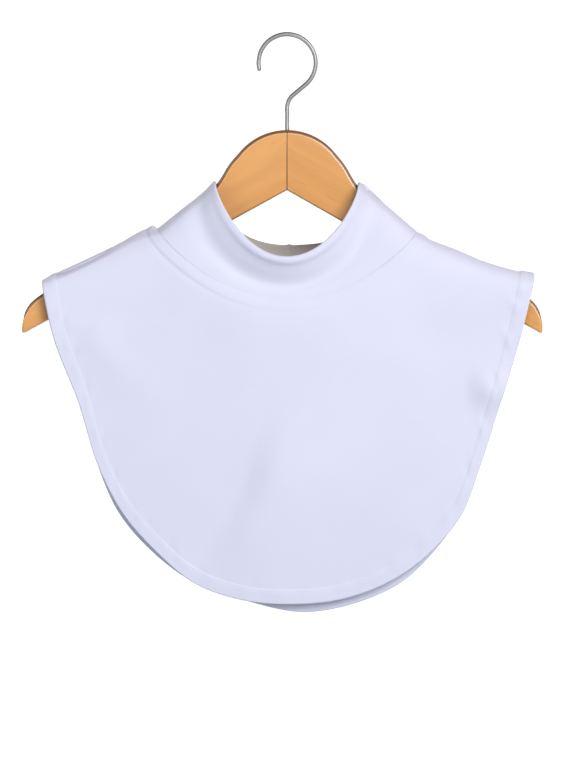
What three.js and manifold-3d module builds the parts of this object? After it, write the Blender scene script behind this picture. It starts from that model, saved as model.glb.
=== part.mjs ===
// A knitted turtleneck dickey hanging on a wooden clothes hanger, in millimetres, with +Z up.
// The origin is the underside of the hook's crest, where a rail carries it, and the front faces -Y.
// The cloth pieces are thin closed walls round hollow spaces: a front, a back and a folded collar band.

import * as THREE from 'three';
import Module from 'manifold-3d';
import { LoftGeometry } from 'three/addons/geometries/LoftGeometry.js';
import { mergeVertices } from 'three/addons/utils/BufferGeometryUtils.js';

// Hook: a wire that rises from the wood, leans out and comes round over the rail
const wireDiameter = 3.8;
const hookBore = 44;
const hookRise = 78;
const hookLean = THREE.MathUtils.degToRad(40);
const hookEnd = THREE.MathUtils.degToRad(192);
const hookBendRadius = 13.5;
const socketDepth = 16;
const socketClearance = 0.3;

// Hanger wood: two boards that meet at the centre, bowed towards the front at their ends
const crownRadius = 52;
const crownTurn = THREE.MathUtils.degToRad(50);
const headHeight = 50.4;
const armDrop = 170.5;
const leftArmReach = 220;
const rightArmReach = 212;
const armThickness = 13;
const armBow = 18;
const armEdgeCut = 2.4;
const armTipRound = 2.2;
const armJointGap = 0.3;

// Cloth: walls of the pieces, and the room that they keep
const panelThickness = 1.6;
const hemThickness = 2.8;
const hemWidth = 12;
const seamAllowance = 9;
const seamAllowanceThickness = 2.3;
const collarThickness = 2.6;
const clothClearance = 0.95;
const clothSlack = 1.5;
const seamGap = 0.3;

// Neck seam: half its width, and how far the seam hangs below its ends and stands off the wood
const neckHalfWidth = 108;
const frontNeckDrop = 57;
const backNeckDrop = 45;
const frontNeckStandOff = 8;
const backNeckStandOff = 2;
const leftNeckBump = 3.6;
const rightNeckBump = 1.4;
const neckBumpPlace = 5.5;
const neckBumpWidth = 3;

// Collar crease: the valley between the part that rises from the seam and the lip that flares
const leftCreaseHalfWidth = 67;
const rightCreaseHalfWidth = 61;
const creaseBulge = 13;
const frontCreaseDrop = 85;
const backCreaseDrop = 68;
const frontCreaseStandOff = 5;
const backCreaseStandOff = 12;

// Collar rim: the folded upper edge
const rimHalfWidth = 60;
const frontRimDrop = 63;
const backRimDrop = 52;
const frontRimFlare = 18;
const backRimFlare = 34;
const roofCrown = 1;
const lipCrown = 0.5;

// Panels: a shield with straight shoulders, sloping sides and a round bottom
const panelLength = 319;
const leftShoulderReach = 203;
const rightShoulderReach = 205.5;
const leftShoulderDrop = 43;
const rightShoulderDrop = 35;
const shoulderRoll = 12;
const leftShoulderSag = -1.8;
const rightShoulderSag = 4.6;
const shoulderSagFade = 45;
const leftSeamRoll = THREE.MathUtils.degToRad(30);
const rightSeamRoll = THREE.MathUtils.degToRad(-12);
const wrapDrop = 9;
const frontSwell = 10;
const backSwell = 4;
const swellDrop = 9;
const clothEndShare = 0.97;
const foldFade = 20;
const ledgeDepth = 6.5;
const ledgeRound = 9;
const ledgeFade = 95;
const frontHemStandOff = 0;
const backHemStandOff = -6;
const foldDepth = 3;

// Fineness of the facets
const columnsPerSide = 22;
const profileRows = 9;
const wireSides = 10;
const rowStep = 1;
const slopeProbe = 0.5;
const normalProbe = 2;

function tableOf(columns, rows) {
  return rows.map((row) => Object.fromEntries(columns.map((column, index) => [column, row[index]])));
}

// Upper edge of each board past the crown's arc, as shares of the way out to its end and down to its lowest
// point
const armEdge = tableOf(['out', 'down'], [
  [0.00, 0.000],
  [0.05, 0.070],
  [0.10, 0.165],
  [0.14, 0.218],
  [0.20, 0.280],
  [0.29, 0.365],
  [0.37, 0.440],
  [0.44, 0.490],
  [0.60, 0.562],
  [0.80, 0.672],
  [0.89, 0.762],
  [0.95, 0.815],
  [0.983, 0.865],
  [1.00, 0.930],
]);

// Outlines of the panels below the shoulder corners, as shares of the length and of the shoulders' reach
const frontOutline = tableOf(['down', 'left', 'right'], [
  [0.277, 0.951, 0.940],
  [0.446, 0.852, 0.862],
  [0.615, 0.771, 0.781],
  [0.740, 0.670, 0.708],
  [0.840, 0.542, 0.584],
  [0.918, 0.404, 0.430],
  [0.964, 0.232, 0.258],
]);
const frontBottom = { down: 0.981, right: 0.024 };
const backOutline = tableOf(['down', 'left', 'right'], [
  [0.277, 0.943, 0.932],
  [0.446, 0.846, 0.855],
  [0.615, 0.781, 0.776],
  [0.740, 0.695, 0.712],
  [0.840, 0.571, 0.603],
  [0.922, 0.409, 0.472],
  [0.975, 0.217, 0.300],
]);
const backBottom = { down: 1.000, right: 0.045 };

// Dents and folds of the panels: places and halves are shares of the panel's reach and length, and a depth
// is a share of the fold depth, negative where the cloth swells out
const foldColumns = ['across', 'down', 'halfWidth', 'halfHeight', 'slant', 'depth'];
const frontFolds = tableOf(foldColumns, [
  [0.777, 0.416, 0.045, 0.050, -1.20, 1.10],
  [-0.213, 0.861, 0.110, 0.070, 0.40, 1.00],
  [-0.102, 0.711, 0.070, 0.200, 1.97, 0.80],
  [-0.797, 0.284, 0.050, 0.035, 1.20, 0.60],
  [0.560, 0.250, 0.150, 0.060, -0.35, 0.45],
  [0.150, 0.620, 0.260, 0.170, 0.10, -0.50],
  [-0.480, 0.600, 0.160, 0.150, 0.20, -0.45],
]);
const backFolds = tableOf(foldColumns, [
  [-0.450, 0.420, 0.130, 0.120, 0.30, 0.70],
  [0.480, 0.520, 0.150, 0.140, -0.30, 0.80],
  [0.020, 0.700, 0.120, 0.200, 0.10, -0.80],
]);

const thickestCloth = Math.max(collarThickness, hemThickness);
const clothStandOff = armThickness / 2 + clothClearance + clothSlack + thickestCloth / 2;
const reachOfArm = { left: leftArmReach, right: rightArmReach };
const signOf = { left: -1, right: 1 };
const facingOf = { front: -1, back: 1 };
const swellOf = { front: frontSwell, back: backSwell };
const seamRollOf = { left: leftSeamRoll, right: rightSeamRoll };
const neckBumpOf = { left: leftNeckBump, right: rightNeckBump };
const shoulderSagOf = { left: leftShoulderSag, right: rightShoulderSag };

function mix(from, to, share) {
  return from + (to - from) * share;
}

// Shares of a cubic curve's start, start slope, end and end slope at a share of its span
function cubicShares(share) {
  const square = share * share;
  const cube = square * share;
  return [2 * cube - 3 * square + 1, cube - 2 * square + share, 3 * square - 2 * cube, cube - square];
}

// Share of the way down of a board's upper edge at a share of the way out, on a smooth curve through the
// table
function edgeDown(out) {
  let row = 0;
  while (row < armEdge.length - 2 && out > armEdge[row + 1].out) {
    row += 1;
  }
  const slopeAt = (index) => {
    const before = armEdge[Math.max(index - 1, 0)];
    const after = armEdge[Math.min(index + 1, armEdge.length - 1)];
    return (after.down - before.down) / (after.out - before.out);
  };
  const [start, end] = [armEdge[row], armEdge[row + 1]];
  const span = end.out - start.out;
  const [first, firstSlope, last, lastSlope] = cubicShares((out - start.out) / span);
  const fromSlopes = firstSlope * slopeAt(row) + lastSlope * slopeAt(row + 1);
  return first * start.down + last * end.down + fromSlopes * span;
}

// Point of a smooth curve through a list of points, at a share from 0 to 1, with the same share for each span
function smoothPoint(points, share) {
  const place = Math.min(Math.max(share, 0), 1) * (points.length - 1);
  const index = Math.min(Math.floor(place), points.length - 2);
  const spanOf = (at) => points[at + 1].distanceTo(points[at]);
  const slopeAt = (at) => {
    if (at === 0 || at === points.length - 1) {
      const from = Math.min(at, points.length - 2);
      return points[from + 1].clone().sub(points[from]).divideScalar(spanOf(from));
    }
    const [before, after] = [spanOf(at - 1), spanOf(at)];
    const incoming = points[at].clone().sub(points[at - 1]).multiplyScalar(after / before);
    const outgoing = points[at + 1].clone().sub(points[at]).multiplyScalar(before / after);
    return incoming.add(outgoing).divideScalar(before + after);
  };
  const span = spanOf(index);
  const [first, firstSlope, last, lastSlope] = cubicShares(place - index);
  return new THREE.Vector3()
    .addScaledVector(points[index], first)
    .addScaledVector(slopeAt(index), firstSlope * span)
    .addScaledVector(points[index + 1], last)
    .addScaledVector(slopeAt(index + 1), lastSlope * span);
}

// Closed solid from rings of points, all of the same count
function loftRings(rings, capped) {
  const loft = new LoftGeometry(rings, { closed: true, capStart: capped, capEnd: capped });
  const surface = new THREE.BufferGeometry();
  surface.setAttribute('position', loft.getAttribute('position'));
  surface.setIndex(loft.getIndex());
  const solid = mergeVertices(surface, 1e-4);
  solid.computeVertexNormals();
  return solid;
}

// Closed solid between an outer and an inner grid of points, columns first. A wall that goes all the way
// round has its last column joined to its first, and a folded one has its two faces meet in the last row
function shellSolid(outer, inner, round, folded) {
  const columns = outer.length;
  const rows = outer[0].length;
  const points = [...outer.flat(), ...inner.flat()];
  const outerAt = (column, row) => (column % columns) * rows + row;
  const innerAt = (column, row) => columns * rows + outerAt(column, row);
  const faces = [];
  const quad = (first, second, third, fourth) => faces.push(first, second, third, first, third, fourth);
  const spans = round ? columns : columns - 1;
  for (let column = 0; column < spans; column += 1) {
    const next = column + 1;
    for (let row = 0; row < rows - 1; row += 1) {
      quad(outerAt(column, row), outerAt(column, row + 1), outerAt(next, row + 1), outerAt(next, row));
      quad(innerAt(column, row), innerAt(next, row), innerAt(next, row + 1), innerAt(column, row + 1));
    }
    quad(outerAt(column, 0), outerAt(next, 0), innerAt(next, 0), innerAt(column, 0));
    if (!folded) {
      const end = rows - 1;
      quad(outerAt(column, end), innerAt(column, end), innerAt(next, end), outerAt(next, end));
    }
  }
  if (!round) {
    const end = columns - 1;
    for (let row = 0; row < rows - 1; row += 1) {
      quad(outerAt(0, row), innerAt(0, row), innerAt(0, row + 1), outerAt(0, row + 1));
      quad(outerAt(end, row), outerAt(end, row + 1), innerAt(end, row + 1), innerAt(end, row));
    }
  }
  const surface = new THREE.BufferGeometry().setFromPoints(points);
  surface.setIndex(faces);
  const solid = mergeVertices(surface, 1e-4);
  solid.computeVertexNormals();
  return solid;
}

// Height of the upper edge of a board at a distance from the centre
function armTopHeight(side, distance) {
  const arcReach = crownRadius * Math.sin(crownTurn);
  const arcDrop = crownRadius * (1 - Math.cos(crownTurn));
  if (distance <= arcReach) {
    return -hookRise - crownRadius + Math.sqrt(crownRadius ** 2 - distance ** 2);
  }
  const share = (distance - arcReach) / (reachOfArm[side] - arcReach);
  return -hookRise - mix(arcDrop, armDrop, edgeDown(share));
}

function armBottomHeight(side, distance) {
  return -hookRise - mix(headHeight, armDrop, distance / reachOfArm[side]);
}

// Depth of the middle plane of a board, which bows forward towards its end
function bowAt(side, distance) {
  return -armBow * (distance / reachOfArm[side]) ** 2;
}

// Section of a board: a rectangle with its corners cut
function boardRing(side, distance, inset) {
  const top = armTopHeight(side, distance) - inset;
  const bottom = armBottomHeight(side, distance) + inset;
  const half = armThickness / 2 - inset;
  const cut = Math.min(armEdgeCut, (top - bottom) / 3);
  const middle = bowAt(side, distance);
  const corners = [
    [-half, bottom + cut],
    [-half + cut, bottom],
    [half - cut, bottom],
    [half, bottom + cut],
    [half, top - cut],
    [half - cut, top],
    [-half + cut, top],
    [-half, top - cut],
  ];
  const x = signOf[side] * distance;
  const ring = corners.map(([across, height]) => new THREE.Vector3(x, middle + across, height));
  return side === 'right' ? ring : ring.reverse();
}

function boardStations(side) {
  const arcSteps = 7;
  const stations = [];
  for (let step = 0; step < arcSteps; step += 1) {
    stations.push(crownRadius * Math.sin((crownTurn * step) / arcSteps));
  }
  stations[0] = armJointGap / 2;
  const arcReach = crownRadius * Math.sin(crownTurn);
  for (const { out } of armEdge) {
    stations.push(mix(arcReach, reachOfArm[side] - armTipRound, out));
  }
  return stations;
}

function boardGeometry(side, socket) {
  const rings = boardStations(side).map((distance) => boardRing(side, distance, 0));
  rings.push(boardRing(side, reachOfArm[side], armTipRound));
  return cutAway(loftRings(rings, true), socket);
}

function solidFrom(geometry) {
  const vertProperties = new Float32Array(geometry.getAttribute('position').array);
  const triVerts = new Uint32Array(geometry.getIndex().array);
  return new wasm.Manifold(new wasm.Mesh({ numProp: 3, vertProperties, triVerts }));
}

function cutAway(geometry, cutter) {
  const result = solidFrom(geometry).subtract(solidFrom(cutter)).getMesh();
  const cut = new THREE.BufferGeometry();
  cut.setAttribute('position', new THREE.BufferAttribute(new Float32Array(result.vertProperties), 3));
  cut.setIndex(new THREE.BufferAttribute(new Uint32Array(result.triVerts), 1));
  cut.computeVertexNormals();
  return cut;
}

// Ring of a wire that lies in the plane of the hook, square to its direction
function wireRing(centre, direction, radius) {
  const outward = new THREE.Vector3(direction.z, 0, -direction.x);
  const ring = [];
  for (let index = 0; index < wireSides; index += 1) {
    const angle = (2 * Math.PI * index) / wireSides;
    const point = centre.clone().addScaledVector(outward, radius * Math.cos(angle));
    point.y += radius * Math.sin(angle);
    ring.push(point);
  }
  return ring;
}

// Points and directions along the hook: up the stem, round the bend, up the lean and round the rail
function hookPath() {
  const wireRadius = wireDiameter / 2;
  const round = hookBore / 2 + wireRadius;
  const centreHeight = -hookBore / 2;
  const lean = Math.PI / 2 - hookLean;
  const joinX = round * Math.cos(lean);
  const joinHeight = centreHeight - round * Math.sin(lean);
  const kneeHeight = joinHeight - joinX * Math.tan(hookLean);
  const bendStart = kneeHeight - hookBendRadius * Math.tan(lean / 2);
  const path = [];
  const place = (x, z, angle) => {
    const direction = new THREE.Vector3(Math.cos(angle), 0, Math.sin(angle));
    path.push({ centre: new THREE.Vector3(x, 0, z), direction });
  };
  place(0, -hookRise - socketDepth + socketClearance, Math.PI / 2);
  const bendSteps = 5;
  for (let step = 0; step <= bendSteps; step += 1) {
    const turn = (lean * step) / bendSteps;
    const x = hookBendRadius * (1 - Math.cos(turn));
    place(x, bendStart + hookBendRadius * Math.sin(turn), Math.PI / 2 - turn);
  }
  const roundSteps = 26;
  for (let step = 0; step <= roundSteps; step += 1) {
    const angle = mix(-lean, hookEnd, step / roundSteps);
    place(round * Math.cos(angle), centreHeight + round * Math.sin(angle), angle + Math.PI / 2);
  }
  return path;
}

function hookGeometry() {
  const radius = wireDiameter / 2;
  const path = hookPath();
  const rings = path.map(({ centre, direction }) => wireRing(centre, direction, radius));
  const tip = path[path.length - 1];
  const tipSteps = tableOf(['ahead', 'width'], [[0.6, 0.8], [0.95, 0.3]]);
  for (const { ahead, width } of tipSteps) {
    const centre = tip.centre.clone().addScaledVector(tip.direction, radius * ahead);
    rings.push(wireRing(centre, tip.direction, radius * width));
  }
  return loftRings(rings, true);
}

function socketGeometry() {
  const radius = wireDiameter / 2 + socketClearance;
  const up = new THREE.Vector3(0, 0, 1);
  const floor = new THREE.Vector3(0, 0, -hookRise - socketDepth);
  const mouth = new THREE.Vector3(0, 0, -hookRise + armEdgeCut);
  return loftRings([wireRing(floor, up, radius), wireRing(mouth, up, radius)], true);
}

// Height of the cloth's middle where it lies folded over the upper edge of a board
function foldHeight(side, distance) {
  const rise = armTopHeight(side, distance + slopeProbe) - armTopHeight(side, distance - slopeProbe);
  const slope = rise / (2 * slopeProbe);
  const rest = (clothClearance + collarThickness / 2) * Math.hypot(1, slope);
  return armTopHeight(side, distance) + rest;
}

// Share of the way from the middle of a board to its face that cloth has gone when it wraps over the edge
function wrapShare(progress) {
  const left = 1 - Math.min(progress, 1);
  return Math.sqrt(1 - left * left);
}

// Cloth near a board, lifted off its upper edge and kept clear of the face that it hangs over. Where the seam
// below it has wrapped over the board, the cloth rests lower too
function keepOffBoard(half, side, point, progress, seamProgress) {
  const distance = Math.abs(point.x);
  const top = foldHeight(side, Math.min(distance, reachOfArm[side] * clothEndShare));
  const rest = top - wrapDrop * Math.min(seamProgress, 1);
  const onEdge = 1 - Math.min(progress, 1);
  const middle = bowAt(side, distance);
  const off = Math.max(facingOf[half] * (point.y - middle), clothStandOff * wrapShare(progress));
  const height = point.z + onEdge * Math.max(0, rest - point.z);
  return new THREE.Vector3(point.x, middle + facingOf[half] * off, height);
}

// How far cloth bellies out beyond its stand-off at a drop below the upper edge of the wood
function swellAt(half, drop) {
  return swellOf[half] * (1 - Math.exp(-Math.max(drop, 0) / swellDrop));
}

// The three loops of the collar. A drop power below one makes a loop fall fast at the sides and then run
// flat
const loops = {
  seam: {
    reach: { left: neckHalfWidth, right: neckHalfWidth },
    bulge: 0,
    narrowing: 1,
    drop: { front: frontNeckDrop, back: backNeckDrop },
    dropPower: { front: 1.8, back: 1.6 },
    standOff: { front: frontNeckStandOff, back: backNeckStandOff },
    flarePower: 1.3,
  },
  crease: {
    reach: { left: leftCreaseHalfWidth, right: rightCreaseHalfWidth },
    bulge: creaseBulge,
    narrowing: 0.85,
    drop: { front: frontCreaseDrop, back: backCreaseDrop },
    dropPower: { front: 1.3, back: 0.9 },
    standOff: { front: frontCreaseStandOff, back: backCreaseStandOff },
    flarePower: 2,
  },
  rim: {
    reach: { left: rimHalfWidth, right: rimHalfWidth },
    bulge: 0,
    narrowing: 1,
    drop: { front: frontRimDrop, back: backRimDrop },
    dropPower: { front: 1.5, back: 0.8 },
    standOff: { front: frontRimFlare, back: backRimFlare },
    flarePower: 0.9,
  },
};

// How far cloth has wrapped over a board's upper edge at a height, from 0 on top to 1 or more in front of its
// face
function wrapProgress(side, distance, height) {
  return Math.max(0, foldHeight(side, distance) - height) / wrapDrop;
}

// Turn round the neck at a share of the way from the side, 0, to the centre, 1, closer steps near the side
function turnAt(along) {
  const sideCrowding = 1.3;
  return (Math.PI / 2) * along ** sideCrowding;
}

function loopPoint(loop, half, side, along) {
  const turn = turnAt(along);
  const low = Math.sin(turn);
  const reach = loop.reach[side];
  const distance = (reach + loop.bulge * Math.sin(2 * turn)) * Math.cos(turn) ** loop.narrowing;
  const ownHeight = foldHeight(side, reach);
  const sharedHeight = (foldHeight('left', loop.reach.left) + foldHeight('right', loop.reach.right)) / 2;
  const height = mix(ownHeight, sharedHeight, low * low) - loop.drop[half] * low ** loop.dropPower[half];
  const wrapped = clothStandOff * wrapShare(wrapProgress(side, distance, height));
  const swell = swellAt(half, foldHeight(side, distance) - height);
  const off = wrapped + swell + loop.standOff[half] * low ** loop.flarePower;
  const depth = bowAt(side, distance) + facingOf[half] * off;
  return new THREE.Vector3(signOf[side] * distance, depth, height);
}

// Profile of the collar from the seam over the roof, through the crease and along the lip to the rim
function collarProfile(half, side, along) {
  const low = Math.sin(turnAt(along));
  const seam = loopPoint(loops.seam, half, side, along);
  const crease = loopPoint(loops.crease, half, side, along);
  const rim = loopPoint(loops.rim, half, side, along);
  const facing = facingOf[half];
  const roof = seam.clone().lerp(crease, 0.5);
  roof.y += facing * roofCrown * low;
  const lip = crease.clone().lerp(rim, 0.5);
  lip.y += facing * lipCrown * low;
  lip.z -= lipCrown * low;
  return [seam, roof, crease, lip, rim];
}

// Outline of a panel as points from the left shoulder corner round the bottom to the right one
function cornerPoint(side) {
  const reach = side === 'left' ? leftShoulderReach : rightShoulderReach;
  const drop = side === 'left' ? leftShoulderDrop : rightShoulderDrop;
  const height = foldHeight(side, neckHalfWidth) - drop;
  return new THREE.Vector3(signOf[side] * reach, 0, height);
}

function outlinePoints(rows, bottom) {
  const neckHeight = (foldHeight('left', neckHalfWidth) + foldHeight('right', neckHalfWidth)) / 2;
  const at = (x, share) => new THREE.Vector3(x, 0, neckHeight - share * panelLength);
  const left = rows.map((row) => at(-row.left * leftShoulderReach, row.down));
  const right = rows.map((row) => at(row.right * rightShoulderReach, row.down));
  const lowest = at(bottom.right * rightShoulderReach, bottom.down);
  return [cornerPoint('left'), ...left, lowest, ...right.reverse(), cornerPoint('right')];
}

// Half of an outline as even steps, from its shoulder corner to the lowest point
function halfOutline(points, side) {
  const fineSteps = 600;
  const fine = [];
  for (let step = 0; step <= fineSteps; step += 1) {
    const share = step / fineSteps / 2;
    fine.push(smoothPoint(points, side === 'left' ? share : 1 - share));
  }
  const lengths = [0];
  for (let step = 1; step <= fineSteps; step += 1) {
    lengths.push(lengths[step - 1] + fine[step].distanceTo(fine[step - 1]));
  }
  return { fine, lengths, total: lengths[fineSteps] };
}

function outlineAt(outline, share) {
  const target = outline.total * share;
  let index = 1;
  while (index < outline.lengths.length - 1 && outline.lengths[index] < target) {
    index += 1;
  }
  const span = outline.lengths[index] - outline.lengths[index - 1];
  const part = (target - outline.lengths[index - 1]) / span;
  return outline.fine[index - 1].clone().lerp(outline.fine[index], part);
}

const panels = {
  front: {
    rows: frontOutline,
    bottom: frontBottom,
    folds: frontFolds,
    hemStandOff: frontHemStandOff,
    ledge: ledgeDepth,
  },
  back: {
    rows: backOutline,
    bottom: backBottom,
    folds: backFolds,
    hemStandOff: backHemStandOff,
    ledge: 0,
  },
};
for (const panel of Object.values(panels)) {
  const points = outlinePoints(panel.rows, panel.bottom);
  panel.outline = { left: halfOutline(points, 'left'), right: halfOutline(points, 'right') };
}

const neckBumpTurn = 0.1;
const seamRollPower = 0.7;
const shoulderSagPower = 0.6;
const hangPower = 0.7;
const ledgePower = 3;

// Share of a half outline that the cloth reaches in line with a place round the neck, crowded at the corner
function outlineShare(along) {
  return 1.5 * along ** 2 - 0.5 * along ** 3;
}

// Depth of the dents and folds at a place on a panel, positive where the cloth sinks in
function foldsAt(folds, x, height) {
  const neckHeight = foldHeight('left', neckHalfWidth);
  const across = x / rightShoulderReach;
  const down = (neckHeight - height) / panelLength;
  let sum = 0;
  for (const fold of folds) {
    const below = (down - fold.down) / fold.halfHeight;
    const beside = (across - fold.across) / fold.halfWidth + fold.slant * below;
    sum += fold.depth * Math.exp(-(below * below + beside * beside));
  }
  return foldDepth * sum;
}

// Turn of the cloth over a board's upper edge, from the shoulder seam to the board's face. The seam lies
// forward of the top on the left and behind it on the right
function wrapTurn(half, side, evenTurn, share) {
  const roll = seamRollOf[side] * Math.sin(Math.PI * THREE.MathUtils.clamp(share, 0, 1)) ** seamRollPower;
  const start = seamGap / 2 / clothStandOff - facingOf[half] * roll;
  return mix(start, Math.PI / 2, evenTurn / (Math.PI / 2));
}

// Middle of a panel's wall at a distance from the neck seam, on the line from the seam to the outline
function panelPoint(half, side, along, distance) {
  const panel = panels[half];
  const low = Math.sin(turnAt(along));
  const inner = loopPoint(loops.seam, half, side, along);
  const outer = outlineAt(panel.outline[side], outlineShare(along));
  const share = distance / Math.hypot(outer.x - inner.x, outer.z - inner.z);
  const x = mix(inner.x, outer.x, share);
  const middle = bowAt(side, Math.abs(x));
  const sideLength = panel.outline[side].total * outlineShare(along);
  const innerDrop = Math.max(0, foldHeight(side, Math.abs(inner.x)) - inner.z);
  const progress = Math.min(mix(innerDrop / wrapDrop, sideLength / shoulderRoll, share), 1);
  const roll = mix(wrapDrop, shoulderRoll, share);
  const evenTurn = Math.acos(1 - Math.max(progress, 0));
  const turn = wrapTurn(half, side, evenTurn, share);
  const sagShare = Math.sin(Math.PI * THREE.MathUtils.clamp(share, 0, 1)) ** shoulderSagPower;
  const sag = shoulderSagOf[side] * sagShare * Math.exp(-((sideLength / shoulderSagFade) ** 2));
  const straight = mix(inner.z, outer.z, share) - sag - roll * (Math.cos(evenTurn) - Math.cos(turn));
  const top = foldHeight(side, Math.min(Math.abs(x), reachOfArm[side] * clothEndShare));
  const rest = top - roll * (1 - Math.cos(turn));
  const fromBump = ((distance - neckBumpPlace) / neckBumpWidth) ** 2 + (along / neckBumpTurn) ** 2;
  const bump = neckBumpOf[side] * Math.exp(-fromBump);
  const height = straight + (1 - progress) * Math.max(0, rest - straight) + bump;
  const onFace = clothStandOff * Math.sin(turn);
  const neckOff = loops.seam.standOff[half] * low ** loops.seam.flarePower;
  const ledgeShare = (1 - Math.exp(-distance / ledgeRound)) * Math.exp(-distance / ledgeFade);
  const ledge = panel.ledge * low ** ledgePower * ledgeShare;
  const swell = swellAt(half, mix(innerDrop, sideLength, share)) * (1 - low * share ** 2);
  const hang = mix(neckOff, panel.hemStandOff * low, share ** hangPower) + ledge + swell;
  const belowBoard = (armBottomHeight(side, Math.abs(x)) - height) / foldFade;
  const sink = foldsAt(panel.folds, x, height) * THREE.MathUtils.clamp(belowBoard, 0, 1);
  const free = onFace + hang - sink;
  const off = mix(Math.max(free, onFace), free, THREE.MathUtils.clamp(belowBoard - 1, 0, 1));
  return new THREE.Vector3(x, middle + facingOf[half] * off, height);
}

// Distances from the neck seam at which a panel has a row, closest at the seam and the hem
function panelRows(length) {
  const allowanceEdge = [seamAllowance - rowStep, seamAllowance + rowStep];
  const seamRows = [seamGap / 2, neckBumpPlace, ...allowanceEdge, 2 * seamAllowance];
  const hemRows = [length - hemWidth - rowStep, length - hemWidth + rowStep, length];
  const bodyCount = 7;
  const bodyStart = seamRows[seamRows.length - 1];
  const rows = [...seamRows];
  for (let index = 1; index < bodyCount; index += 1) {
    rows.push(mix(bodyStart, hemRows[0], index / bodyCount));
  }
  return [...rows, ...hemRows];
}

function panelWall(distance, length) {
  if (distance < seamAllowance) {
    return seamAllowanceThickness;
  }
  return distance > length - hemWidth ? hemThickness : panelThickness;
}

// Places round one half of the neck from left to right
function placesRound() {
  const places = [];
  for (let index = 0; index <= 2 * columnsPerSide; index += 1) {
    const side = index <= columnsPerSide ? 'left' : 'right';
    const steps = side === 'left' ? index : 2 * columnsPerSide - index;
    places.push({ side, along: steps / columnsPerSide });
  }
  return places;
}

// Direction out of the cloth at the neck seam, which the collar and the panels share
function seamNormal(half, side, along) {
  const alongStep = 0.01;
  const before = loopPoint(loops.seam, half, side, Math.max(along - alongStep, 0));
  const after = loopPoint(loops.seam, half, side, Math.max(along, alongStep));
  const around = after.sub(before);
  if (along === 0) {
    around.set(0, facingOf[half], 0);
  }
  if (along === 1) {
    around.set(-signOf[side], 0, 0);
  }
  const profile = collarProfile(half, side, along);
  const below = panelPoint(half, side, along, normalProbe);
  const above = smoothPoint(profile, normalProbe / profile[1].distanceTo(profile[0]) / (profile.length - 1));
  const normal = around.cross(above.sub(below)).normalize();
  const outside = new THREE.Vector3(0, facingOf[half], 0.5);
  return normal.dot(outside) < 0 ? normal.negate() : normal;
}

// Normals of a grid of points by its neighbours, turned to the outside
function gridNormals(grid, outside, edgeAcross) {
  const last = grid.length - 1;
  return grid.map((column, index) => column.map((point, row) => {
    const previous = grid[Math.max(index - 1, 0)][row];
    const next = grid[Math.min(index + 1, last)][row];
    const across = next.clone().sub(previous);
    if (edgeAcross && (index === 0 || index === last)) {
      across.copy(edgeAcross);
    }
    const up = column[Math.max(row - 1, 0)];
    const down = column[Math.min(row + 1, column.length - 1)];
    const normal = across.cross(down.clone().sub(up)).normalize();
    return normal.dot(outside(point)) < 0 ? normal.negate() : normal;
  }));
}

function panelGeometry(half) {
  const facing = facingOf[half];
  const grid = [];
  const walls = [];
  const places = placesRound();
  for (const { side, along } of places) {
    const inner = loopPoint(loops.seam, half, side, along);
    const outer = outlineAt(panels[half].outline[side], outlineShare(along));
    const length = Math.hypot(outer.x - inner.x, outer.z - inner.z);
    const distances = panelRows(length);
    grid.push(distances.map((distance) => panelPoint(half, side, along, distance)));
    walls.push(distances.map((distance) => panelWall(distance, length)));
  }
  const outside = () => new THREE.Vector3(0, facing, 0.4);
  const normals = gridNormals(grid, outside, new THREE.Vector3(0, 1, 0));
  places.forEach(({ side, along }, index) => {
    normals[index][0] = seamNormal(half, side, along);
  });
  const faceOf = (way) => grid.map((column, index) => column.map((point, row) => (
    point.clone().addScaledVector(normals[index][row], (way * walls[index][row]) / 2)
  )));
  const [outer, inner] = [faceOf(1), faceOf(-1)];
  return half === 'front' ? shellSolid(outer, inner, false, false) : shellSolid(inner, outer, false, false);
}

function collarColumn(half, side, along) {
  const profile = collarProfile(half, side, along);
  const first = seamGap / 2 / profile[1].distanceTo(profile[0]) / (profile.length - 1);
  const progressAt = (point) => (along === 0 ? 0 : wrapProgress(side, Math.abs(point.x), point.z));
  const seamProgress = progressAt(profile[0]);
  const column = [];
  for (let row = 0; row <= profileRows; row += 1) {
    const point = smoothPoint(profile, mix(first, 1, row / profileRows));
    column.push(keepOffBoard(half, side, point, progressAt(point), seamProgress));
  }
  return column;
}

function collarGeometry() {
  const front = placesRound().map((place) => ({ half: 'front', ...place }));
  const back = placesRound().reverse().slice(1, -1).map((place) => ({ half: 'back', ...place }));
  const places = [...front, ...back];
  const grid = places.map(({ half, side, along }) => collarColumn(half, side, along));
  const closedGrid = [grid[grid.length - 1], ...grid, grid[0]];
  const outside = (point) => new THREE.Vector3(point.x, 3 * point.y, 0.6 * Math.abs(point.x));
  const normals = gridNormals(closedGrid, outside, null).slice(1, -1);
  places.forEach(({ half, side, along }, index) => {
    normals[index][0] = seamNormal(half, side, along);
  });
  const faceOf = (way) => grid.map((column, index) => {
    const face = column.map((point, row) => (
      point.clone().addScaledVector(normals[index][row], (way * collarThickness) / 2)
    ));
    const last = column[column.length - 1];
    const onward = last.clone().sub(column[column.length - 2]).normalize();
    return [...face, last.clone().addScaledVector(onward, collarThickness / 2)];
  });
  return shellSolid(faceOf(-1), faceOf(1), true, true);
}

const wasm = await Module();
wasm.setup();

const cloth = { color: 0xe6e6f8, roughness: 0.9, metalness: 0 };
const wood = { color: 0xe4a663, roughness: 0.4, metalness: 0 };
const steel = { color: 0xb9b6b0, roughness: 0.25, metalness: 1 };

const group = new THREE.Group();

function addPiece(name, geometry, finish) {
  const mesh = new THREE.Mesh(geometry, new THREE.MeshStandardMaterial(finish));
  mesh.name = name;
  group.add(mesh);
}

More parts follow.
